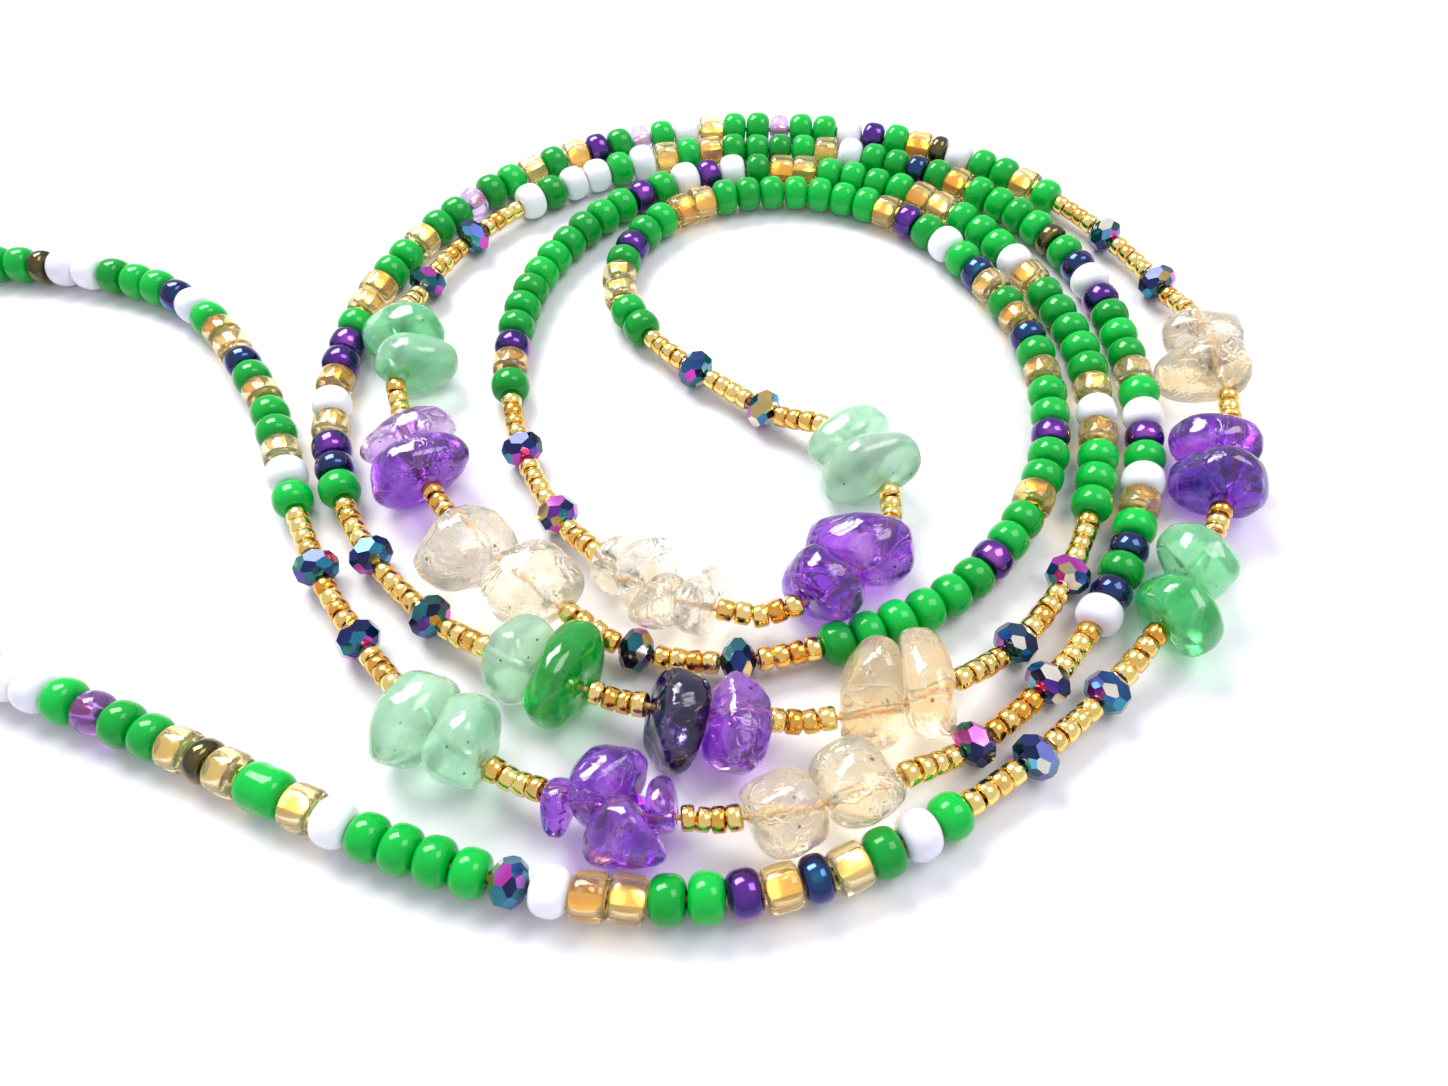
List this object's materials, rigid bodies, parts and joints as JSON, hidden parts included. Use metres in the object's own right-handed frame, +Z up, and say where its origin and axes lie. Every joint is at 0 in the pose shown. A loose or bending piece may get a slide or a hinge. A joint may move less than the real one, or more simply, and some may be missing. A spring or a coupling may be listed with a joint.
{
  "type": "waist beads",
  "caption": "closed string of glass beads, crystals and drilled stone chips, lying flat in a doubled spiral coil, to wear round the waist",
  "frame": {"origin": "the middle of the bounding box in plan, on the surface that the string lies on", "axes": "+X runs along the coil's longest way, from the clasp's end to the spiral; +Y is across the coil, away from the viewer of the picture; +Z is up"},
  "size_m": [0.1644, 0.1026, 0.0078],
  "materials": {
    "glass_beads": "glossy glass beads, mostly opaque green with white, gold, violet and blue ones",
    "amethyst": "polished translucent violet stone",
    "citrine": "polished clear pale yellow stone",
    "aventurine": "polished milky green stone",
    "clasp_metal": "polished gold-coloured metal"
  },
  "bodies": {
    "root": {"bead_string_outer": "glass_beads", "bead_string_inner": "glass_beads", "barrel_clasp": "clasp_metal", "amethyst_chip_01": "amethyst", "amethyst_chip_02": "amethyst", "amethyst_chip_03": "amethyst", "amethyst_chip_04": "amethyst", "amethyst_chip_05": "amethyst", "amethyst_chip_06": "amethyst", "amethyst_chip_07": "amethyst", "amethyst_chip_08": "amethyst", "amethyst_chip_09": "amethyst", "amethyst_chip_10": "amethyst", "amethyst_chip_11": "amethyst", "amethyst_chip_12": "amethyst", "aventurine_chip_01": "aventurine", "aventurine_chip_02": "aventurine", "aventurine_chip_03": "aventurine", "aventurine_chip_04": "aventurine", "aventurine_chip_05": "aventurine", "aventurine_chip_06": "aventurine", "aventurine_chip_07": "aventurine", "aventurine_chip_08": "aventurine", "aventurine_chip_09": "aventurine", "aventurine_chip_10": "aventurine", "citrine_chip_01": "citrine", "citrine_chip_02": "citrine", "citrine_chip_03": "citrine", "citrine_chip_04": "citrine", "citrine_chip_05": "citrine", "citrine_chip_06": "citrine", "citrine_chip_07": "citrine", "citrine_chip_08": "citrine", "citrine_chip_09": "citrine", "citrine_chip_10": "citrine", "citrine_chip_11": "citrine", "citrine_chip_12": "citrine"}
  },
  "joints": []
}
